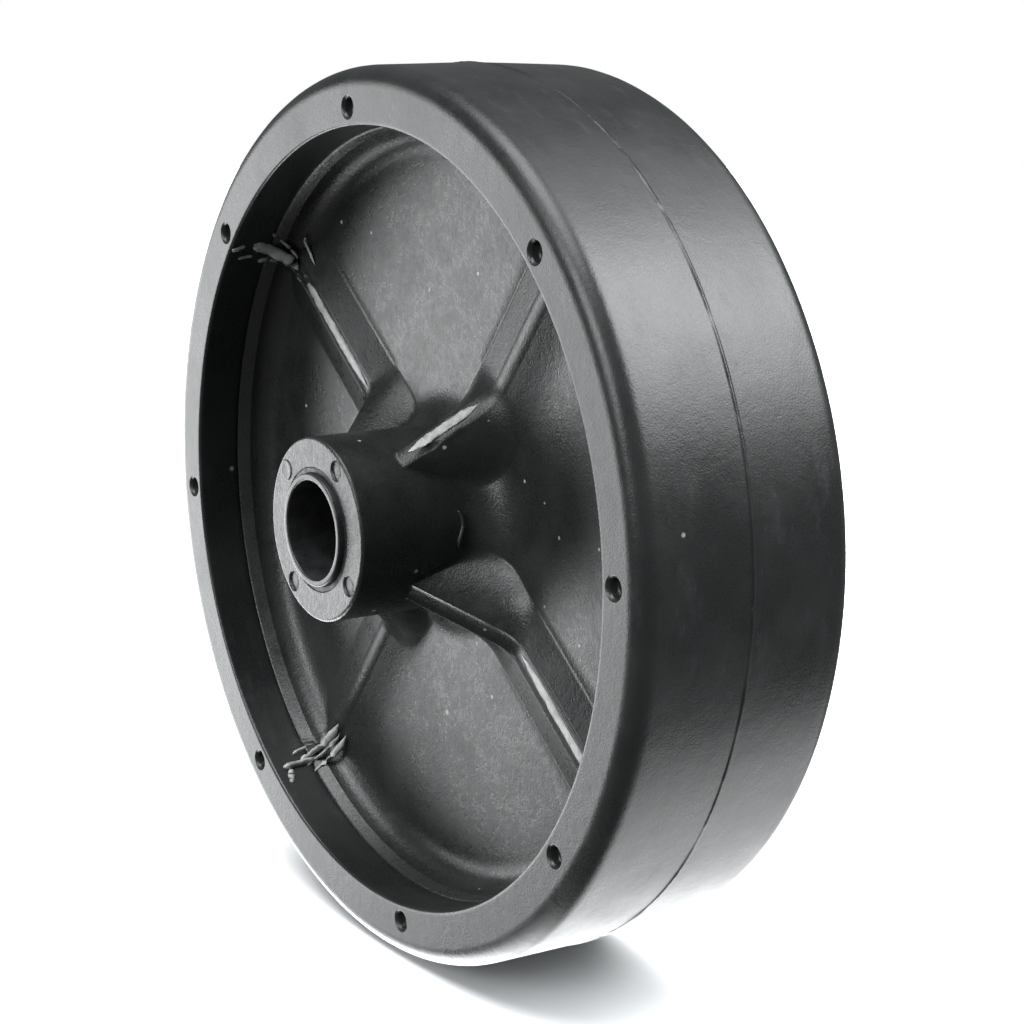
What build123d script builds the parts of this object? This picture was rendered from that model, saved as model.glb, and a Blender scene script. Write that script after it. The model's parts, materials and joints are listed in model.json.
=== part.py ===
from build123d import *
from math import cos, radians, sin
import os

# Gate wheel: a moulded wheel with a rubber tyre that turns on a fixed axle sleeve.
# The origin is the wheel's centre, +Y is the axle's line and +Z is up. Sizes are in millimetres.

# Driving dimensions
tread_diameter = 203.2
tyre_width = 53.6
hub_diameter = 41.4
hub_length = 81.9
sleeve_bore_diameter = 22.3

# Tyre: the side faces wrap round the rim band and end in a lip inside the wheel
tread_drop = 0.6
shoulder_radius = 4.6
barrel_radius = 88.1
lip_depth = 10.8
mouth_chamfer = 0.6

# Blind locating-pin holes in both side faces of the tyre, a little unevenly spaced
pin_hole_angles = (2, 45, 95, 139, 184, 231, 277, 322)
pin_hole_circle = 92.2
pin_hole_radius = 2.6
pin_hole_depth = 2.4

# Wheel core: rim band, web, ribs and hub in one moulding
band_thickness = 5.4
key_height = 2.0
key_half_width = 5.0
key_slope = 2.0
web_half_thickness = 6.4
web_rim_fillet = 6.0
web_hub_fillet = 9.5

# Ribs: the same four on both sides of the web, low at the rim and ramped up to the hub
rib_count = 4
rib_turn = 51.9
rib_rise = 2.5
rib_crest_half = 2.3
rib_base_half = 10.8
rib_bend_radius = 39.1
rib_root = 1.5
rib_start_radius = 15.5

# Round moulding marks in both hub faces, roughly in line with the ribs
mark_angles = (57, 139, 232, 325)
mark_circle = 17.5
mark_radius = 2.3
mark_depth = 0.4

# Axle sleeve, and the two plain bushes in the hub that turn on it
sleeve_wall = 1.55
sleeve_proud = 1.25
sleeve_end_round = 0.4
running_gap = 0.05
bush_wall = 1.2
bush_length = 24.0
bush_set_back = 0.3
bush_chamfer = 0.3
hub_relief = 0.7

# Worked out from the dimensions above
tread_radius = tread_diameter / 2
half_width = tyre_width / 2
hub_radius = hub_diameter / 2
hub_half = hub_length / 2
band_half_width = half_width - lip_depth
band_radius = barrel_radius + band_thickness
key_radius = band_radius + key_height
key_foot = key_half_width + key_slope
sleeve_bore_radius = sleeve_bore_diameter / 2
sleeve_radius = sleeve_bore_radius + sleeve_wall
sleeve_half = hub_half + sleeve_proud
bush_bore_radius = sleeve_radius + running_gap
bush_radius = bush_bore_radius + bush_wall
bush_inner_end = hub_half - bush_length
bush_outer_end = hub_half - bush_set_back

os.makedirs("parts", exist_ok=True)


def face_plane(height, side):
    """A plane square to the axle at this height on one side, looking into the wheel."""
    return Plane(origin=(0, side * height, 0), x_dir=(1, 0, 0), z_dir=(0, -side, 0))


def spots_on_circle(radius, angles, side):
    """Places on a face plane. The same angles give mirror images on the wheel's two sides."""
    return [(radius * cos(radians(a)), side * radius * sin(radians(a))) for a in angles]


def rib_plane(angle, distance):
    """A plane square to a rib at this distance from the axle, with its own Y along the axle."""
    outward = Vector(cos(radians(angle)), 0, sin(radians(angle)))
    across = Vector(sin(radians(angle)), 0, -cos(radians(angle)))
    return Plane(origin=outward * distance, x_dir=across, z_dir=outward)


def rib_section(crest_height):
    """A rib's section through both sides of the web. Its flanks run on a little below the web's faces."""
    flank_slope = (rib_base_half - rib_crest_half) / (crest_height - web_half_thickness)
    root_half = rib_base_half + flank_slope * rib_root
    root_height = web_half_thickness - rib_root
    return [
        (rib_crest_half, crest_height),
        (root_half, root_height),
        (root_half, -root_height),
        (rib_crest_half, -crest_height),
        (-rib_crest_half, -crest_height),
        (-root_half, -root_height),
        (-root_half, root_height),
        (-rib_crest_half, crest_height),
    ]


# Wheel core: half of its outline is mirrored and turned about the axle, and the ribs are added
core_outline = [
    (sleeve_radius + hub_relief, 0),
    (sleeve_radius + hub_relief, bush_inner_end),
    (bush_radius, bush_inner_end),
    (bush_radius, hub_half),
    (hub_radius, hub_half),
    (hub_radius, web_half_thickness),
    (barrel_radius, web_half_thickness),
    (barrel_radius, band_half_width),
    (band_radius, band_half_width),
    (band_radius, key_foot),
    (key_radius, key_half_width),
    (key_radius, 0),
]
rib_crest = web_half_thickness + rib_rise
rib_ramp = (half_width - rib_crest) / (rib_bend_radius - hub_radius)
rib_start_crest = half_width + rib_ramp * (hub_radius - rib_start_radius)
rib_end_radius = barrel_radius + rib_root

with BuildPart() as wheel_core:
    with BuildSketch(Plane.XY):
        with BuildLine():
            Polyline(*core_outline, close=True)
        make_face()
        web_corners = vertices().filter_by_position(Axis.Y, web_half_thickness, web_half_thickness)
        fillet(web_corners.sort_by(Axis.X)[0], web_hub_fillet)
        fillet(vertices().sort_by_distance((barrel_radius, web_half_thickness))[0], web_rim_fillet)
        mirror(about=Plane.XZ)
    revolve(axis=Axis.Y)
    for rib in range(rib_count):
        angle = rib_turn + rib * 360 / rib_count
        with BuildSketch(rib_plane(angle, rib_start_radius)):
            Polygon(*rib_section(rib_start_crest), align=None)
        with BuildSketch(rib_plane(angle, rib_bend_radius)):
            Polygon(*rib_section(rib_crest), align=None)
        loft(ruled=True)
        with BuildSketch(rib_plane(angle, rib_bend_radius)):
            Polygon(*rib_section(rib_crest), align=None)
        extrude(amount=rib_end_radius - rib_bend_radius)
    for side in (1, -1):
        with BuildSketch(face_plane(hub_half, side)):
            with Locations(*spots_on_circle(mark_circle, mark_angles, side)):
                Circle(mark_radius)
        extrude(amount=mark_depth, mode=Mode.SUBTRACT)
wheel_core.part.label = "wheel_core"
export_step(wheel_core.part, "parts/wheel_core.step")


# Tyre: moulded round the rim band and keyed to it, slightly crowned at the middle of the tread
tyre_outline = [
    (key_radius, 0),
    (key_radius, key_half_width),
    (band_radius, key_foot),
    (band_radius, band_half_width),
    (barrel_radius, band_half_width),
    (barrel_radius, half_width - mouth_chamfer),
    (barrel_radius + mouth_chamfer, half_width),
    (tread_radius - tread_drop, half_width),
    (tread_radius, 0),
]

with BuildPart() as tyre:
    with BuildSketch(Plane.XY):
        with BuildLine():
            Polyline(*tyre_outline, close=True)
        make_face()
        fillet(vertices().sort_by_distance((tread_radius, half_width))[0], shoulder_radius)
        mirror(about=Plane.XZ)
    revolve(axis=Axis.Y)
    for side in (1, -1):
        with BuildSketch(face_plane(half_width, side)):
            with Locations(*spots_on_circle(pin_hole_circle, pin_hole_angles, side)):
                Circle(pin_hole_radius)
        extrude(amount=pin_hole_depth, mode=Mode.SUBTRACT)
tyre.part.label = "tyre"
export_step(tyre.part, "parts/tyre.step")


# Two plain bushes, one pressed into each end of the hub
for name, side in (("front_bush", -1), ("rear_bush", 1)):
    with BuildPart() as bush:
        with BuildSketch(face_plane(bush_outer_end, side)):
            Circle(bush_radius)
            Circle(bush_bore_radius, mode=Mode.SUBTRACT)
        extrude(amount=bush_outer_end - bush_inner_end)
        mouth = bush.edges().filter_by(GeomType.CIRCLE).sort_by(SortBy.RADIUS)[:2]
        chamfer(mouth, bush_chamfer)
    bush.part.label = name
    export_step(bush.part, "parts/" + name + ".step")


# Axle sleeve: the tube that is clamped on the gate's axle bolt, a little longer than the hub
with BuildPart() as axle_sleeve:
    with BuildSketch(face_plane(sleeve_half, -1)):
        Circle(sleeve_radius)
        Circle(sleeve_bore_radius, mode=Mode.SUBTRACT)
    extrude(amount=2 * sleeve_half)
    fillet(axle_sleeve.edges().filter_by(GeomType.CIRCLE), sleeve_end_round)
axle_sleeve.part.label = "axle_sleeve"
export_step(axle_sleeve.part, "parts/axle_sleeve.step")
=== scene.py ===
"""The looks of the gate wheel: its mouldings, finishes, floor, studio and camera, round the CAD frame.

The mesh code works in millimetres, as the part does, and finished pieces are scaled to metres.
"""

import json
import math
import random

import bmesh
import bpy
from mathutils import Matrix, Vector, noise


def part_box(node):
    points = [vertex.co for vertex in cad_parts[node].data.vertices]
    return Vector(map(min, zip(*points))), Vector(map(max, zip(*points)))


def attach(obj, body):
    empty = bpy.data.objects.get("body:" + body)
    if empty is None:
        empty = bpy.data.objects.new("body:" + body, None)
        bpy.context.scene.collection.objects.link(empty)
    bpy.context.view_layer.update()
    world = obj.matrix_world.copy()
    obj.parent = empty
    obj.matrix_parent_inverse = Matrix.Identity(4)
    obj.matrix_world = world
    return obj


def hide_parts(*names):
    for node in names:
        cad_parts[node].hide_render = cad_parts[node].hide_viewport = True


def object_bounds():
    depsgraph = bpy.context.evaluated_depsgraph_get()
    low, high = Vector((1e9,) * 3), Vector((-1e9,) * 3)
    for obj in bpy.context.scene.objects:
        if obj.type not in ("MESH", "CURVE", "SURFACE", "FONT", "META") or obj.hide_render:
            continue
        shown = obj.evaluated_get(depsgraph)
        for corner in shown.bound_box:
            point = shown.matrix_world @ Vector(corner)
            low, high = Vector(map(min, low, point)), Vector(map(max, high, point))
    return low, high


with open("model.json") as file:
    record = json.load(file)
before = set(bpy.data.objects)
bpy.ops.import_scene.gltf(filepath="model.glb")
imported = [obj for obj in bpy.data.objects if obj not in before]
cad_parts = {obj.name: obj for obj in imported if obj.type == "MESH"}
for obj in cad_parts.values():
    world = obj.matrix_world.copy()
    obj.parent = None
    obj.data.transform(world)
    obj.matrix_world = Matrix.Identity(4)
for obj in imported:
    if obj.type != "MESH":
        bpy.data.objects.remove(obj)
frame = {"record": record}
cad_low, cad_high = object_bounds()

METRE = 0.001
SIDES = (-1, 1)

# Sizes read from the frame
tread_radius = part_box("tyre")[1].x / METRE
half_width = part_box("tyre")[1].y / METRE
key_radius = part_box("wheel_core")[1].x / METRE
hub_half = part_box("wheel_core")[1].y / METRE
bush_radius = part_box("front_bush")[1].x / METRE
bush_outer_end = -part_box("front_bush")[0].y / METRE
bush_inner_end = -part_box("front_bush")[1].y / METRE
sleeve_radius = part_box("axle_sleeve")[1].x / METRE
sleeve_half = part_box("axle_sleeve")[1].y / METRE
bore_radius = frame["record"]["mounts"][0]["dims"]["r_mm"]

# Tyre
tread_drop = 0.6
shoulder_radius = 4.6
barrel_radius = 88.1
lip_depth = 10.8
mouth_round = 0.7
pin_hole_angles = (2, 45, 95, 139, 184, 231, 277, 322)
pin_hole_circle = 92.2
pin_hole_radius = 2.6
pin_hole_depth = 2.4
flash_height = 0.28
flash_half = 0.45
flash_nick_angles = (56.5, 45.5, -58)
flash_nick_depth = 0.45
flash_nick_half_angle = 1.3

# Wheel core
hub_radius = 20.7
hub_edge_round = 0.7
band_thickness = 5.4
key_half_width = 5.0
key_slope = 2.0
web_half = 6.4
web_rim_fillet = 6.0
wall_step = 0.6
witness_step = 0.12
web_hub_fillet = 9.5
rib_turn = 51.9
rib_count = 4
rib_rise = 2.5
crest_half = 2.3
crest_sink = 0.55
crest_crown = 0.5
crest_bend = 3.0
base_half = 10.8
bend_radius = 39.1

# How the ribs meet the web, by (rib, side of it): the height of a fine line along the foot, and the soft feet
foot_lines = {(0, 1): -0.14, (3, -1): -0.14, (1, -1): 0.16, (3, 1): 0.16}
foot_line_half = 0.2
soft_feet = ((0, -1), (2, 1))
foot_blend = 0.1
soft_foot_blend = 1.1
hub_blend = 1.2
hub_blend_reach = 14

# Moulding marks and bush seats of the hub
mark_angles = (57, 139, 232, 325)
mark_circle = 17.5
mark_radius = 2.3
hub_relief = 0.7
bush_flush = 0.2

# Worked out from the sizes above
band_half_width = half_width - lip_depth
band_radius = barrel_radius + band_thickness
key_foot = key_half_width + key_slope
crest_height = web_half + rib_rise
ramp_slope = (half_width - crest_height) / (bend_radius - hub_radius)
fillet_centre = hub_radius + web_hub_fillet
rim_fillet_start = barrel_radius - wall_step - web_rim_fillet
rim_fillet_top = web_half + web_rim_fillet
sector = 360 / rib_count


# ---------------------------------------------------------------- mesh helpers


def steps(start, end, count):
    """count + 1 evenly spaced values from start to end."""
    return [start + (end - start) * i / count for i in range(count + 1)]


def soft_ramp(x, soft):
    """0 below zero and x above it, with a round bend of this half width between them."""
    if x < -soft:
        return 0.0
    if x > soft:
        return x
    return (x + soft) ** 2 / (4 * soft)


def soft_max(a, b, soft):
    """The larger of two heights, blended where they are closer than soft."""
    return b + soft_ramp(a - b, soft)


def ripple(point, scale, seed=0.0):
    """Smooth noise of about -1 to 1, whose lumps are about scale millimetres wide."""
    return noise.noise(Vector(point) / scale + Vector((seed, seed, seed)))


def ring(bm, radius, height, angles):
    """A loop of vertices round the axle. Angles are in radians."""
    return [bm.verts.new((radius * math.cos(a), height, radius * math.sin(a))) for a in angles]


def bridge(bm, first, second):
    """Smooth quads between two loops of the same length."""
    for i in range(len(first)):
        j = (i + 1) % len(first)
        bm.faces.new((first[i], first[j], second[j], second[i])).smooth = True


def bridge_all(bm, loops):
    for first, second in zip(loops, loops[1:]):
        bridge(bm, first, second)


def fill_between(bm, loops):
    """Fills the flat face that these loops bound, the holes in it left open."""
    edges = []
    for loop in loops:
        for i, vertex in enumerate(loop):
            other = loop[(i + 1) % len(loop)]
            edges.append(bm.edges.get((vertex, other)) or bm.edges.new((vertex, other)))
    bmesh.ops.triangle_fill(bm, edges=edges, use_beauty=True)


def spot_rings(bm, centre, side, outline, around=40):
    """Loops round a spot on a side face, from an outline of (radius, height above the face)."""
    loops = []
    for radius, height in outline:
        loop = []
        for i in range(around):
            a = 2 * math.pi * i / around
            x = centre[0] + radius * math.cos(a)
            z = centre[2] + radius * math.sin(a)
            loop.append(bm.verts.new((x, centre[1] + side * height, z)))
        loops.append(loop)
    bridge_all(bm, loops)
    bm.faces.new(loops[-1])
    return loops[0]


def spot_place(circle, angle, height, side):
    a = math.radians(angle)
    return (circle * math.cos(a), side * height, circle * math.sin(a))


def bead(bm, points, width, lift=0.5, around=8, seed=0, beside=None):
    """A thin raised thread of plastic along points, lumpy, tapered and closed at both ends."""
    rnd = random.Random(seed)
    loops = []
    count = len(points)
    for i, point in enumerate(points):
        here = Vector(point)
        ahead = Vector(points[min(i + 1, count - 1)]) - Vector(points[max(i - 1, 0)])
        across = beside or ahead.normalized().orthogonal().normalized()
        up = ahead.normalized().cross(across)
        taper = math.sin(math.pi * (i + 0.35) / (count - 0.3))
        radius = width / 2 * min(1.0, 1.6 * taper) * rnd.uniform(0.92, 1.08)
        loop = []
        for k in range(around):
            a = 2 * math.pi * k / around
            loop.append(bm.verts.new(here + across * radius * math.cos(a) + up * radius * lift * math.sin(a)))
        loops.append(loop)
    bridge_all(bm, loops)
    bm.faces.new(loops[0])
    bm.faces.new(loops[-1])


def finish_mesh(bm, name, body, slot, material, *nodes):
    """Turns the mesh code's result into a piece that rides on a body and stands for CAD nodes."""
    bmesh.ops.recalc_face_normals(bm, faces=bm.faces)
    mesh = bpy.data.meshes.new(name)
    bm.to_mesh(mesh)
    bm.free()
    mesh.transform(Matrix.Scale(METRE, 4))
    piece = bpy.data.objects.new(name, mesh)
    bpy.context.scene.collection.objects.link(piece)
    mesh.materials.append(material)
    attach(piece, body)
    if nodes:
        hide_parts(*nodes)
    return piece


# ---------------------------------------------------------------- tyre


def tread_height(y):
    """The tread's radius at this distance from the wheel's middle plane: each half has a slight draft."""
    return tread_radius - tread_drop * abs(y) / half_width


def nick_depth(angle):
    """How far the parting line's flash is bitten away at this angle."""
    depth = 0.0
    for nick in flash_nick_angles:
        away = abs((math.degrees(angle) - nick + 180) % 360 - 180)
        depth = max(depth, flash_nick_depth * max(0.0, 1 - away / flash_nick_half_angle))
    return depth


def parting_flash(bm, angles):
    """The moulding's parting line: a thin uneven ridge round the middle of the tread."""
    loops = []
    for y, share in ((-flash_half, 0), (-0.2, 0.75), (0.0, 1), (0.2, 0.75), (flash_half, 0)):
        loop = []
        for a in angles:
            where = (tread_radius * math.cos(a), 0, tread_radius * math.sin(a))
            height = flash_height * (0.75 + 0.8 * ripple(where, 9) + 0.4 * ripple(where, 1.6))
            drift = 0.22 * ripple(where, 22, 5.0)
            radius = tread_height(y) + share * (max(height, 0.02) - nick_depth(a))
            loop.append(bm.verts.new((radius * math.cos(a), y + drift, radius * math.sin(a))))
        loops.append(loop)
    bridge_all(bm, loops)
    return loops


def tyre_side(bm, side, angles, start):
    """One side of the tyre from the parting line's flash to the hidden key's foot. Returns its last loop."""
    arc_y = half_width - shoulder_radius
    arc_radius = tread_height(arc_y) - shoulder_radius
    outer = [(tread_height(y), y) for y in (0.7, 1.2, 2.5, 5, 8, 11, 14, 17, 20)]
    for turn in steps(0, 90, 9):
        t = math.radians(turn)
        outer.append((arc_radius + shoulder_radius * math.cos(t), arc_y + shoulder_radius * math.sin(t)))
    outer.append((arc_radius - 0.4, half_width))
    inner = [(barrel_radius + mouth_round + 0.4, half_width)]
    for turn in steps(90, 180, 5):
        t = math.radians(turn)
        radius = barrel_radius + mouth_round + mouth_round * math.cos(t)
        inner.append((radius, half_width - mouth_round + mouth_round * math.sin(t)))
    inner += [(barrel_radius, y) for y in steps(half_width - 1.5, band_half_width + 0.35, 10)]
    inner += [(barrel_radius + 0.1, band_half_width + 0.12), (barrel_radius + 0.4, band_half_width)]
    inner += [(band_radius, band_half_width), (band_radius, key_foot), (key_radius, key_half_width)]
    outer_loops = [ring(bm, r, side * y, angles) for r, y in outer]
    inner_loops = [ring(bm, r, side * y, angles) for r, y in inner]
    bridge(bm, start, outer_loops[0])
    bridge_all(bm, outer_loops)
    bridge_all(bm, inner_loops)
    hole = [(pin_hole_radius + 0.15, 0), (pin_hole_radius, -0.08), (pin_hole_radius - 0.45, -0.55)]
    hole += [(pin_hole_radius - 0.6, -0.9), (pin_hole_radius - 0.7, 0.4 - pin_hole_depth)]
    hole += [(pin_hole_radius - 1.1, -pin_hole_depth)]
    loops = [outer_loops[-1], inner_loops[0]]
    for angle in pin_hole_angles:
        centre = spot_place(pin_hole_circle, angle, half_width, side)
        loops.append(spot_rings(bm, centre, side, hole))
    fill_between(bm, loops)
    return inner_loops[-1]


def make_tyre(material):
    bm = bmesh.new()
    angles = steps(0, 2 * math.pi, 720)[:-1]
    flash = parting_flash(bm, angles)
    front = tyre_side(bm, -1, angles, flash[0])
    rear = tyre_side(bm, 1, angles, flash[-1])
    bridge(bm, front, rear)
    for vertex in bm.verts:
        point = vertex.co
        outward = Vector((point.x, 0, point.z)).normalized()
        if point.length > tread_radius - 8:
            vertex.co = point + outward * (0.05 * ripple(point, 24) + 0.02 * ripple(point, 7, 3.0))
    displace(bm, rib_end_smears())
    return finish_mesh(bm, "tyre_moulding", "wheel", "tyre", material, "tyre")


# ---------------------------------------------------------------- wheel core

# Distances from a rib's centre line at which the grid has a column, close at the crest's edge and the foot
NEAR_RIB = (0, 0.4, 0.8, 1.2, 1.55, 1.85, 2.1, 2.25, 2.35, 2.6)
NEAR_RIB += (3.2, 4.2, 5.4, 6.6, 7.8, 9, 10, 10.5, 10.8, 11.1)
FAR_STEPS = 12


def half_sector(radius):
    """(angle from the rib, distance from the rib's centre line) for the columns on one side of a rib."""
    near = [(math.asin(t / radius), t) for t in NEAR_RIB]
    edge = near[-1][0]
    limit = math.radians(sector / 2)
    far = steps(edge, limit, FAR_STEPS)[1:]
    return near + [(a, radius * math.sin(a)) for a in far]


def columns(radius):
    """(angle round the axle, distance from the nearest rib's line, rib number) for every column."""
    half = half_sector(max(radius, hub_radius))
    mirrored = [(-a, -t) for a, t in reversed(half[1:-1])]
    found = []
    for rib in range(rib_count):
        middle = math.radians(rib_turn + rib * sector)
        found += [(middle + a, t, rib) for a, t in mirrored + half]
    return found


def web_height(radius):
    """Height of the web's face above the middle plane, with its fillets at the hub and the rim."""
    if radius < fillet_centre:
        drop = fillet_centre - radius
        return web_half + web_hub_fillet - math.sqrt(max(web_hub_fillet**2 - drop**2, 0))
    if radius > rim_fillet_start:
        rise = min(radius - rim_fillet_start, web_rim_fillet)
        return web_half + web_rim_fillet - math.sqrt(web_rim_fillet**2 - rise**2)
    return web_half


def crest_shape(across, rib):
    """The crest's own form across a rib: two of the ribs have sunk along the middle and two are crowned."""
    out = min(abs(across) / crest_half, 1)
    if rib % 2:
        return -crest_sink * (1 - out**3)
    return -crest_crown * out**2


def rib_height(radius, across, rib):
    """Height of a rib at this distance from the axle and from its own centre line."""
    crest = crest_height + ramp_slope * soft_ramp(bend_radius - radius, crest_bend)
    edge = crest + crest_shape(crest_half, rib)
    fall = (abs(across) - crest_half) / (base_half - crest_half)
    if fall > 0:
        return edge - (edge - web_half) * fall
    return crest + crest_shape(across, rib)


def face_height(radius, across, rib):
    beside = (rib, 1 if across > 0 else -1)
    blend = soft_foot_blend if beside in soft_feet else foot_blend
    blend += hub_blend * max(0.0, 1 - (radius - hub_radius) / hub_blend_reach)
    height = soft_max(rib_height(radius, across, rib), web_height(radius), blend)
    if abs(abs(across) - base_half) < foot_line_half and bend_radius < radius < rim_fillet_start:
        height += foot_lines.get(beside, 0)
    return height


# Small blemishes of the front ribs: (rib, distance from the axle, distance across, radius, depth)
front_pits = (
    (0, 25.6, -2.0, 1.5, 1.1),
    (0, 31.0, 1.3, 0.8, 0.4),
    (0, 30.4, -2.9, 1.0, 0.6),
    (3, 35.0, 3.0, 1.1, 0.5),
    (3, 78.0, -0.8, 1.3, 0.5),
)


def pit_depth(radius, across, rib):
    depth = 0.0
    for pit_rib, pit_radius, pit_across, size, deep in front_pits:
        away = math.hypot(radius - pit_radius, across - pit_across) / size
        if rib == pit_rib and away < 1:
            depth = max(depth, deep * (1 - away * away))
    return depth


def core_side(bm, side, start):
    """One side of the core from the bore's end, over the hub, web and rim, to the hidden band's edge."""
    cols = columns(hub_radius)
    angles = [a for a, _, _ in cols]
    face_inner = [(bush_radius, hub_half - 0.2), (bush_radius + 0.06, hub_half - 0.05)]
    face_inner.append((bush_radius + 0.2, hub_half))
    bore = [(bush_radius, y) for y in steps(bush_inner_end, hub_half - 1, 3)] + face_inner
    bore_loops = [ring(bm, r, side * y, angles) for r, y in bore]
    bridge(bm, start, bore_loops[0])
    bridge_all(bm, bore_loops)

    # Hub face, with its round moulding marks, and the hub's rounded edge
    rim = []
    for turn in steps(90, 0, 5):
        t = math.radians(turn)
        radius = hub_radius - hub_edge_round + hub_edge_round * math.cos(t)
        rim.append((radius, hub_half - hub_edge_round + hub_edge_round * math.sin(t)))
    hub_loops = [ring(bm, rim[0][0] - 0.25, side * hub_half, angles)]
    hub_loops += [ring(bm, r, side * y, angles) for r, y in rim]
    bridge_all(bm, hub_loops)
    face_loops = [hub_loops[0], bore_loops[-1]]
    for angle in mark_angles:
        raised = angle == mark_angles[1]
        centre = spot_place(mark_circle, angle, hub_half, side)
        face_loops.append(spot_rings(bm, centre, side, mark_outline(raised)))
    fill_between(bm, face_loops)

    # Hub side down to the web's fillet or to a rib's ramp
    loops = [hub_loops[-1]]
    foot = [max(face_height(hub_radius, t, rib), web_half + web_hub_fillet) for _, t, rib in cols]
    top = hub_half - hub_edge_round
    for share in steps(0, 1, 12)[1:]:
        loop = []
        for (a, _, _), low in zip(cols, foot):
            height = top + (low - top) * share
            loop.append(bm.verts.new((hub_radius * math.cos(a), side * height, hub_radius * math.sin(a))))
        loops.append(loop)

    # Web, ribs and fillets
    radii = [fillet_centre - web_hub_fillet * math.cos(math.radians(t)) for t in steps(0, 90, 12)[1:]]
    radii += steps(fillet_centre, 46, 22)[1:] + steps(46, 72, 13)[1:] + steps(72, rim_fillet_start, 12)[1:]
    radii += [rim_fillet_start + web_rim_fillet * math.sin(math.radians(t)) for t in steps(0, 90, 9)[1:]]
    for radius in radii:
        loop = []
        for a, t, rib in columns(radius):
            height = face_height(radius, t, rib)
            if side < 0:
                height -= pit_depth(radius, t, rib)
            where = (radius * math.cos(a), side * 40, radius * math.sin(a))
            height += 0.05 * ripple(where, 16) + 0.02 * ripple(where, 5, 9.0)
            loop.append(bm.verts.new((where[0], side * height, where[2])))
        loops.append(loop)

    # Barrel wall with its fine witness steps, up to the tyre's lip
    first, second = wall_step - witness_step, wall_step - 2 * witness_step
    wall = [(wall_step, rim_fillet_top + 0.25), (first, rim_fillet_top + 0.33)]
    wall += [(first, rim_fillet_top + 1.0), (second, rim_fillet_top + 1.08)]
    wall += [(second, band_half_width - 0.5), (-0.45, band_half_width)]
    wall += [(-band_thickness, band_half_width), (-band_thickness, key_foot)]
    rim_angles = [a for a, _, _ in columns(barrel_radius)]
    loops += [ring(bm, barrel_radius - inward, side * y, rim_angles) for inward, y in wall]
    loops.append(ring(bm, key_radius, side * key_half_width, rim_angles))
    bridge_all(bm, loops)
    return loops[-1]


def mark_outline(raised):
    """A round moulding mark in the hub face: a shallow recess with a flat bottom, or the same standing up."""
    if raised:
        edge = [(mark_radius + 0.1, 0), (mark_radius, 0.16), (mark_radius - 0.2, 0.2)]
        return edge + [(1.6, 0.12), (0.5, 0.12)]
    edge = [(mark_radius + 0.1, 0), (mark_radius - 0.05, -0.5), (mark_radius - 0.3, -0.55)]
    return edge + [(1.6, -0.42), (0.5, -0.4)]


def rib_point(rib, radius, across, height, side=-1):
    """A point by its place on a rib, in the frame's directions."""
    angle = math.radians(rib_turn + rib * sector)
    along = Vector((math.cos(angle), 0, math.sin(angle)))
    beside = Vector((-math.sin(angle), 0, math.cos(angle)))
    return along * radius + beside * across + Vector((0, side * height, 0))


def rib_end_smears():
    """Lumps of (centre, reach, height) where plastic has smeared over the barrel at the ribs' outer ends."""
    rnd = random.Random(4)
    lumps = []
    for side in SIDES:
        for rib in range(rib_count):
            strong = 1.0 if side < 0 and rib in (1, 2) else 0.4
            for share in steps(0, 1, 9):
                height = crest_height + share**1.5 * (18 - crest_height)
                radius = min(80 + 24 * share, barrel_radius)
                across = rnd.uniform(-1.6, 1.6)
                reach = rnd.uniform(2.2, 3.6) * (1 - 0.3 * share)
                lift = strong * rnd.uniform(0.6, 1.5) * (1 - 0.5 * share)
                lumps.append((rib_point(rib, radius, across, height, side), reach, lift))
    return lumps


# Ridges smeared from the front ribs' outer ends up the barrel: (rib, width, start, end), each end given as
# (distance from the axle, distance across the rib, height above the middle plane)
smear_ridges = (
    (1, 3.2, (83, 0.3, 9.2), (88, -4.5, 20.5)),
    (1, 0.8, (84.5, -1.5, 9.3), (88, -9.0, 17.5)),
    (1, 1.6, (87.8, 1.2, 12.0), (88, 1.0, 18.0)),
    (1, 1.0, (88, -0.6, 20.0), (88, 0.6, 23.5)),
    (1, 1.2, (88, -4.0, 23.0), (88, -2.2, 26.0)),
    (1, 0.7, (78, -5.4, 8.4), (85, -8.6, 9.0)),
    (2, 1.6, (80, 4.0, 8.6), (88, 8.0, 16.5)),
    (2, 2.2, (79, 0.6, 9.4), (88, 4.0, 18.5)),
    (2, 1.3, (81, 2.4, 9.4), (88, 5.5, 17.5)),
    (2, 2.6, (87.8, 4.2, 15.0), (88, 4.6, 24.0)),
    (2, 2.0, (88, 5.0, 22.5), (88, 10.5, 24.0)),
    (2, 1.4, (87.5, -1.0, 11.5), (88, 1.5, 20.0)),
)


# Painted highlights along the middle of the crests, drawn as pale strips: (rib, width, across, from, to), the
# last two measured from the axle
painted_crest_highlights = (
    (1, 2.6, 0.5, 40.5, 82.0),
    (3, 2.4, 0.2, 42.0, 81.0),
    (0, 2.4, 0.3, 22.5, 36.0),
)


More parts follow.
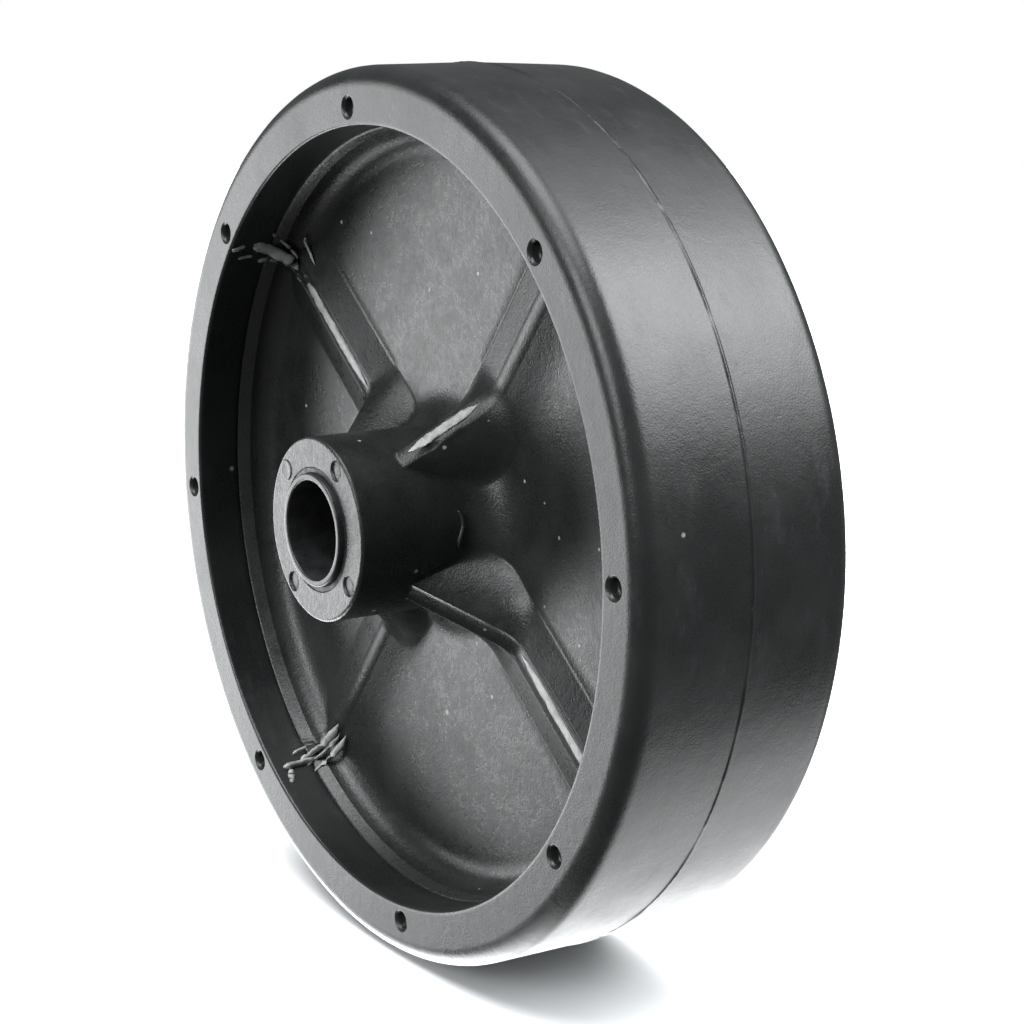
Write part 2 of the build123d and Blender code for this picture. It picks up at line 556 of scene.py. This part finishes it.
def make_smears_and_crest_highlights(material):
    """Pale plastic: painted highlights along the crests, and ridges smeared from the ribs' ends up the barrel
    wall.
    """
    bm = bmesh.new()
    # Painted highlights: pale strips laid along the middle of the crests
    for number, (rib, width, across, start, end) in enumerate(painted_crest_highlights):
        line = [rib_point(rib, r, across, rib_height(r, across, rib) + 0.06) for r in steps(start, end, 60)]
        turn = math.radians(rib_turn + rib * sector)
        beside = Vector((-math.sin(turn), 0, math.cos(turn)))
        bead(bm, line, width, lift=0.2, around=12, seed=70 + number, beside=beside)
    for number, (rib, width, start, end) in enumerate(smear_ridges):
        line = []
        for s in steps(0, 1, 18):
            climb = s * s * (3 - 2 * s)
            radius = start[0] + (end[0] - start[0]) * min(1.6 * s, 1)
            across = start[1] + (end[1] - start[1]) * s
            height = start[2] + (end[2] - start[2]) * climb
            point = rib_point(rib, radius, across, height)
            line.append(point + Vector((ripple(point, 2.4), 0, ripple(point, 2.4, 4.0))) * 0.3)
        bead(bm, line, width, lift=0.6, around=12, seed=40 + number)
    for vertex in bm.verts:
        vertex.co += Vector([ripple(vertex.co, 1.6, shift) for shift in (1.0, 4.0, 8.0)]) * 0.16
    # The piece holds the pale smear ridges and the painted crest highlights
    return finish_mesh(bm, "rib_end_smears", "wheel", "core", material)


def displace(bm, lumps):
    """Raises the surface along its normal round each lump, with a broken, crumpled edge."""
    bmesh.ops.recalc_face_normals(bm, faces=bm.faces)
    bm.normal_update()
    moves = {}
    for vertex in bm.verts:
        point = vertex.co
        if math.hypot(point.x, point.z) < 68 or abs(point.y) > half_width - 1:
            continue
        lift = 0.0
        for centre, reach, height in lumps:
            away = (point - centre).length / reach
            if away < 1:
                lift = max(lift, height * (1 - away * away) * (0.75 + 0.9 * ripple(point, 1.3)))
        if lift:
            moves[vertex] = vertex.normal * lift
    for vertex, move in moves.items():
        vertex.co += move


def core_threads(bm):
    """Thin threads of stray plastic: a drip on the hub and lines on a crest."""
    drip = []
    for s in steps(0, 1, 14):
        a = math.radians(14 - 24 * s)
        radius = hub_radius + 0.25
        sway = -16.4 + 0.7 * math.sin(5 * s) + 0.5 * s
        drip.append((radius * math.cos(a), sway, radius * math.sin(a)))
    bead(bm, drip, 1.0, seed=12)
    for offset in (2.9, 3.5):
        line = [rib_point(3, r, offset, rib_height(r, offset, 3) + 0.02) for r in steps(46, 76, 16)]
        bead(bm, line, 0.28, seed=int(offset * 10))


def make_core(material):
    bm = bmesh.new()
    angles = [a for a, _, _ in columns(hub_radius)]
    relief = sleeve_radius + hub_relief
    middle = ring(bm, relief, 0, angles)
    ends = {}
    for side in SIDES:
        step_loop = ring(bm, relief, side * bush_inner_end, angles)
        bridge(bm, middle, step_loop)
        ends[side] = core_side(bm, side, step_loop)
    bridge(bm, ends[-1], ends[1])
    displace(bm, rib_end_smears())
    core_threads(bm)
    return finish_mesh(bm, "wheel_core_moulding", "wheel", "core", material, "wheel_core")


# ---------------------------------------------------------------- bushes and sleeve


def round_tube(inner, outer, start, end, edge):
    """The closed outline of a tube with rounded edges, as (radius, place along the axle)."""
    outline = []
    corners = ((outer - edge, end - edge, 0), (inner + edge, end - edge, 90))
    corners += ((inner + edge, start + edge, 180), (outer - edge, start + edge, 270))
    for radius, y, first in corners:
        for turn in steps(first, first + 90, 4):
            t = math.radians(turn)
            spread = math.cos(t) * edge
            outline.append((radius + spread, y + math.sin(t) * edge))
    return outline


def make_tube(name, body, slot, material, node, outline, burr):
    """A tube turned about the axle, its ends a little uneven from cutting."""
    bm = bmesh.new()
    angles = steps(0, 2 * math.pi, 192)[:-1]
    loops = [ring(bm, r, y, angles) for r, y in outline]
    bridge_all(bm, loops + [loops[0]])
    ends = (min(y for _, y in outline), max(y for _, y in outline))
    for vertex in bm.verts:
        if min(abs(vertex.co.y - end) for end in ends) < 0.3:
            vertex.co += vertex.co.normalized() * burr * ripple(vertex.co, 2.5, 7.0)
    return finish_mesh(bm, name, body, slot, material, node)


def make_bushes(material):
    for name, node, side in (("bush_front", "front_bush", -1), ("bush_rear", "rear_bush", 1)):
        near, far = sorted((side * bush_inner_end, side * (bush_outer_end + bush_flush)))
        outline = round_tube(sleeve_radius + 0.05, bush_radius, near, far, 0.15)
        make_tube(name, "wheel", "bush", material, node, outline, 0.1)


def make_sleeve(material):
    outline = round_tube(bore_radius, sleeve_radius, -sleeve_half, sleeve_half, 0.4)
    make_tube("sleeve_tube", "axle_sleeve", "sleeve", material, "axle_sleeve", outline, 0.03)


# ---------------------------------------------------------------- materials


class Finish:
    """A procedural material under construction. Texture scales are in cells per metre."""

    def __init__(self, name, roughness, specular=0.5):
        self.material = bpy.data.materials.new(name)
        self.material.use_nodes = True
        self.tree = self.material.node_tree
        self.shader = self.tree.nodes["Principled BSDF"]
        self.shader.inputs["Roughness"].default_value = roughness
        self.shader.inputs["Specular IOR Level"].default_value = specular
        self.place = self.tree.nodes.new("ShaderNodeTexCoord").outputs["Object"]

    def link(self, source, target):
        self.tree.links.new(source, target)

    def noise(self, scale, detail=4.0, rough=0.55, stretch=None):
        node = self.tree.nodes.new("ShaderNodeTexNoise")
        node.inputs["Scale"].default_value = scale
        node.inputs["Detail"].default_value = detail
        node.inputs["Roughness"].default_value = rough
        place = self.place
        if stretch:
            mapping = self.tree.nodes.new("ShaderNodeMapping")
            mapping.inputs["Scale"].default_value = stretch
            self.link(place, mapping.inputs["Vector"])
            place = mapping.outputs["Vector"]
        self.link(place, node.inputs["Vector"])
        return node.outputs["Fac"]

    def cells(self, scale, output="Distance"):
        node = self.tree.nodes.new("ShaderNodeTexVoronoi")
        node.inputs["Scale"].default_value = scale
        self.link(self.place, node.inputs["Vector"])
        return node.outputs[output]

    def remap(self, source, low, high, to_low=0.0, to_high=1.0):
        node = self.tree.nodes.new("ShaderNodeMapRange")
        node.interpolation_type = "SMOOTHSTEP"
        for name, value in (("From Min", low), ("From Max", high), ("To Min", to_low), ("To Max", to_high)):
            node.inputs[name].default_value = value
        self.link(source, node.inputs["Value"])
        return node.outputs["Result"]

    def math(self, operation, first, second):
        node = self.tree.nodes.new("ShaderNodeMath")
        node.operation = operation
        for socket, value in zip(node.inputs, (first, second)):
            if isinstance(value, (int, float)):
                socket.default_value = value
            else:
                self.link(value, socket)
        return node.outputs["Value"]

    def mix(self, share, first, second):
        node = self.tree.nodes.new("ShaderNodeMix")
        node.data_type = "RGBA"
        self.link(share, node.inputs["Factor"])
        for socket, value in ((node.inputs["A"], first), (node.inputs["B"], second)):
            if isinstance(value, tuple):
                socket.default_value = (*value, 1)
            else:
                self.link(value, socket)
        return node.outputs["Result"]

    def bump(self, height, distance, strength, under=None):
        node = self.tree.nodes.new("ShaderNodeBump")
        node.inputs["Distance"].default_value = distance
        node.inputs["Strength"].default_value = strength
        self.link(height, node.inputs["Height"])
        if under:
            self.link(under, node.inputs["Normal"])
        return node.outputs["Normal"]

    def specks(self, scale, size, share):
        """Small round dots, in this share of the cells of a random pattern."""
        near = self.remap(self.cells(scale), size * 0.55, size, 1, 0)
        split = self.tree.nodes.new("ShaderNodeSeparateColor")
        self.link(self.cells(scale, "Color"), split.inputs["Color"])
        chosen = self.remap(split.outputs["Red"], 1 - share, 1 - share + 0.02)
        return self.math("MULTIPLY", near, chosen)

    def done(self, colour, roughness, normal):
        self.link(colour, self.shader.inputs["Base Color"])
        self.link(roughness, self.shader.inputs["Roughness"])
        self.link(normal, self.shader.inputs["Normal"])
        return self.material


def tyre_rubber():
    """Moulded black rubber with a satin skin: fine grain, cloudy sheen, scuffs, wear and dust."""
    f = Finish("tyre_rubber", 0.36)
    cloud = f.noise(45, 6)
    grain = f.noise(2600, 2)
    scuff = f.remap(f.noise(160, 5, 0.7, (1, 5, 1)), 0.62, 0.78)
    dust = f.specks(80, 0.06, 0.16)
    colour = f.mix(f.remap(cloud, 0.35, 0.65), (0.014, 0.0155, 0.0155), (0.021, 0.0225, 0.0225))
    worn = f.remap(f.noise(75, 8, 0.7, (1, 2.5, 1)), 0.5, 0.72)
    colour = f.mix(f.math("MULTIPLY", scuff, 0.6), colour, (0.06, 0.063, 0.064))
    colour = f.mix(f.math("MULTIPLY", worn, 0.45), colour, (0.04, 0.043, 0.044))
    colour = f.mix(dust, colour, (0.3, 0.3, 0.29))
    rough = f.remap(cloud, 0.3, 0.7, 0.27, 0.34)
    rough = f.math("ADD", rough, f.math("MULTIPLY", f.math("MAXIMUM", scuff, worn), 0.07))
    rough = f.math("ADD", rough, f.remap(grain, 0.3, 0.7, -0.03, 0.03))
    normal = f.bump(grain, 0.00012, 0.35)
    normal = f.bump(f.noise(220, 5, 0.65), 0.0004, 0.22, normal)
    return f.done(colour, rough, normal)


def core_plastic():
    """Moulded black plastic: mottled where the flow has cooled unevenly, speckled and scuffed."""
    f = Finish("core_plastic", 0.42)
    mottle = f.noise(110, 7, 0.65)
    fine = f.noise(700, 4, 0.6)
    grain = f.noise(2400, 2)
    cloud = f.noise(28, 3)
    dust = f.math("MAXIMUM", f.specks(150, 0.09, 0.3), f.specks(60, 0.05, 0.4))
    scuff = f.remap(f.noise(330, 5, 0.75, (1, 1, 2.2)), 0.66, 0.8)
    colour = f.mix(f.remap(mottle, 0.35, 0.65), (0.018, 0.019, 0.019), (0.025, 0.026, 0.0258))
    colour = f.mix(f.math("MULTIPLY", scuff, 0.5), colour, (0.07, 0.072, 0.07))
    colour = f.mix(dust, colour, (0.42, 0.43, 0.42))
    rough = f.remap(mottle, 0.3, 0.7, 0.27, 0.35)
    rough = f.math("ADD", rough, f.remap(cloud, 0.35, 0.65, -0.02, 0.02))
    rough = f.math("ADD", rough, f.remap(fine, 0.3, 0.7, -0.05, 0.05))
    normal = f.bump(grain, 0.00016, 0.5)
    normal = f.bump(fine, 0.0004, 0.2, normal)
    normal = f.bump(mottle, 0.0006, 0.06, normal)
    return f.done(colour, rough, normal)


def smear_and_crest_highlight_plastic():
    """The same plastic, paler grey and rougher in short streaks: on the ridges smeared up the barrel, and as
    painted highlights along the crests.
    """
    f = Finish("smear_and_crest_highlight_plastic", 0.36)
    streak = f.noise(300, 4, 0.6)
    # Pale grey colour, which on the crests is a painted highlight
    colour = f.mix(f.remap(streak, 0.3, 0.7), (0.26, 0.27, 0.265), (0.5, 0.51, 0.5))
    rough = f.remap(streak, 0.3, 0.7, 0.28, 0.42)
    return f.done(colour, rough, f.bump(streak, 0.0004, 0.3))


def bush_plastic():
    """Hard black bearing plastic with a fine turned texture."""
    f = Finish("bush_plastic", 0.45)
    turned = f.noise(900, 3, 0.6, (1, 6, 1))
    colour = f.mix(f.remap(turned, 0.35, 0.65), (0.012, 0.012, 0.013), (0.024, 0.024, 0.025))
    rough = f.remap(turned, 0.3, 0.7, 0.38, 0.55)
    return f.done(colour, rough, f.bump(turned, 0.0003, 0.4))


def sleeve_steel():
    """Steel tube with a black finish, faintly patchy and drawn along its length."""
    f = Finish("sleeve_black_steel", 0.34)
    drawn = f.noise(1200, 4, 0.6, (1, 0.1, 1))
    patch = f.noise(260, 5)
    colour = f.mix(f.remap(patch, 0.4, 0.65), (0.018, 0.0185, 0.019), (0.03, 0.031, 0.032))
    rough = f.remap(patch, 0.3, 0.7, 0.26, 0.34)
    return f.done(colour, rough, f.bump(drawn, 0.0002, 0.3))


def floor_paper():
    """Matt pale studio paper."""
    f = Finish("floor_paper", 0.9, 0.0)
    tone = f.noise(3, 2)
    colour = f.mix(f.remap(tone, 0.3, 0.7), (0.80, 0.81, 0.82), (0.82, 0.83, 0.84))
    rough = f.remap(tone, 0.3, 0.7, 0.88, 0.94)
    return f.done(colour, rough, f.bump(f.noise(900, 2), 0.0001, 0.1))


# ---------------------------------------------------------------- floor, studio and camera

FLOOR_RADIUS = 4.0


def make_floor(material):
    """A wide round floor that the wheel stands on, which the wheel's gloss doesn't mirror."""
    bm = bmesh.new()
    loops = []
    for radius in (0.05, 0.3, 0.8, 2.0, FLOOR_RADIUS):
        loop = []
        for a in steps(0, 2 * math.pi, 96)[:-1]:
            loop.append(bm.verts.new((radius * math.cos(a), radius * math.sin(a), cad_low.z)))
        loops.append(loop)
    bridge_all(bm, loops)
    bm.faces.new(loops[0])
    bmesh.ops.recalc_face_normals(bm, faces=bm.faces)
    mesh = bpy.data.meshes.new("floor")
    bm.to_mesh(mesh)
    bm.free()
    floor = bpy.data.objects.new("floor", mesh)
    bpy.context.scene.collection.objects.link(floor)
    mesh.materials.append(material)
    floor.visible_glossy = False
    floor.visible_diffuse = False
    floor.visible_shadow = False
    return floor


# Soft lights of the studio: (name, direction from the wheel, half angle inside, half angle outside,
# strength). Each direction is where one kind of surface mirrors the room. The rubber and plastic mirror
# about a twentieth of what they face squarely and a tenth at the side faces' slant, which gave the
# strengths their first values.
SOFT_LIGHTS = (
    ("window", (0.50, 0.54, 0.66), 5, 28, 10),
    ("window_top", (0.15, 0.54, 0.83), 8, 30, 2),
    ("table_back", (0.10, 0.54, -0.83), 8, 30, 3),
    ("table_left_back", (-0.60, 0.50, -0.60), 8, 30, 4),
    ("table_left", (-0.60, 0.00, -0.80), 8, 26, 8),
    ("side_panel", (-0.84, -0.50, -0.12), 8, 22, 4.5),
    ("side_card", (-0.93, 0.05, -0.35), 6, 26, 6),
    ("overhead", (0.00, -0.30, 0.95), 8, 30, 7),
    ("shoulder_light", (0.05, -0.90, 0.43), 3, 20, 8),
)
LIGHT_TINT = (0.98, 1.0, 1.01)
STUDIO_DIM = (0.15, 0.152, 0.156)
STUDIO_PALE = (1.0, 1.0, 1.0)


def make_studio():
    """Broad soft lights in a dim room. The camera sees a pale backdrop behind the wheel."""
    world = bpy.data.worlds.new("studio")
    bpy.context.scene.world = world
    world.use_nodes = True
    tree = world.node_tree
    tree.nodes.clear()
    direction = tree.nodes.new("ShaderNodeTexCoord").outputs["Generated"]
    total = None
    for name, aim, inside, outside, strength in SOFT_LIGHTS:
        dot = tree.nodes.new("ShaderNodeVectorMath")
        dot.operation = "DOT_PRODUCT"
        dot.name = name
        dot.inputs[1].default_value = Vector(aim).normalized()
        tree.links.new(direction, dot.inputs[0])
        edge = tree.nodes.new("ShaderNodeMapRange")
        edge.interpolation_type = "SMOOTHSTEP"
        edge.inputs["From Min"].default_value = math.cos(math.radians(outside))
        edge.inputs["From Max"].default_value = math.cos(math.radians(inside))
        tree.links.new(dot.outputs["Value"], edge.inputs["Value"])
        scaled = tree.nodes.new("ShaderNodeVectorMath")
        scaled.operation = "SCALE"
        scaled.inputs[0].default_value = Vector(LIGHT_TINT) * strength
        tree.links.new(edge.outputs["Result"], scaled.inputs["Scale"])
        joined = tree.nodes.new("ShaderNodeVectorMath")
        joined.operation = "ADD"
        tree.links.new(scaled.outputs["Vector"], joined.inputs[0])
        if total is None:
            joined.inputs[1].default_value = STUDIO_DIM
        else:
            tree.links.new(total, joined.inputs[1])
        total = joined.outputs["Vector"]
    lit = tree.nodes.new("ShaderNodeBackground")
    tree.links.new(total, lit.inputs["Color"])
    backdrop = tree.nodes.new("ShaderNodeBackground")
    backdrop.inputs["Color"].default_value = (*STUDIO_PALE, 1)
    choose = tree.nodes.new("ShaderNodeMixShader")
    rays = tree.nodes.new("ShaderNodeLightPath")
    tree.links.new(rays.outputs["Is Camera Ray"], choose.inputs["Fac"])
    tree.links.new(lit.outputs["Background"], choose.inputs[1])
    tree.links.new(backdrop.outputs["Background"], choose.inputs[2])
    output = tree.nodes.new("ShaderNodeOutputWorld")
    tree.links.new(choose.outputs["Shader"], output.inputs["Surface"])


FLOOR_LIGHT_HEIGHT = 2.2
FLOOR_LIGHT_SIZE = 3.0
FLOOR_LIGHT_POWER = 150


def light_floor(floor):
    """A broad soft light overhead that falls on the floor alone and keeps it pale."""
    light = bpy.data.objects.new("floor_light", bpy.data.lights.new("floor_light", "AREA"))
    bpy.context.scene.collection.objects.link(light)
    light.data.shape = "DISK"
    light.data.size = FLOOR_LIGHT_SIZE
    light.data.energy = FLOOR_LIGHT_POWER
    light.location = (0, 0, FLOOR_LIGHT_HEIGHT)
    receivers = bpy.data.collections.new("lit_by_floor_light")
    receivers.objects.link(floor)
    light.light_linking.receiver_collection = receivers


CAMERA_PLACE = (0.41829, -0.26721, 0.10105)
CAMERA_TARGET = (0.0053, 0.0078, -0.0006)
CAMERA_LENS = 76.8


def make_camera():
    camera = bpy.data.objects.new("camera", bpy.data.cameras.new("camera"))
    bpy.context.scene.collection.objects.link(camera)
    bpy.context.scene.camera = camera
    camera.data.lens = CAMERA_LENS
    camera.data.sensor_width = 36
    camera.data.clip_start = 0.01
    camera.location = CAMERA_PLACE
    aim = Vector(CAMERA_TARGET) - Vector(CAMERA_PLACE)
    camera.rotation_euler = aim.to_track_quat("-Z", "Y").to_euler()


make_tyre(tyre_rubber())
make_core(core_plastic())
make_smears_and_crest_highlights(smear_and_crest_highlight_plastic())
make_bushes(bush_plastic())
make_sleeve(sleeve_steel())
light_floor(make_floor(floor_paper()))
make_studio()
make_camera()
bpy.context.scene.view_settings.view_transform = "Standard"
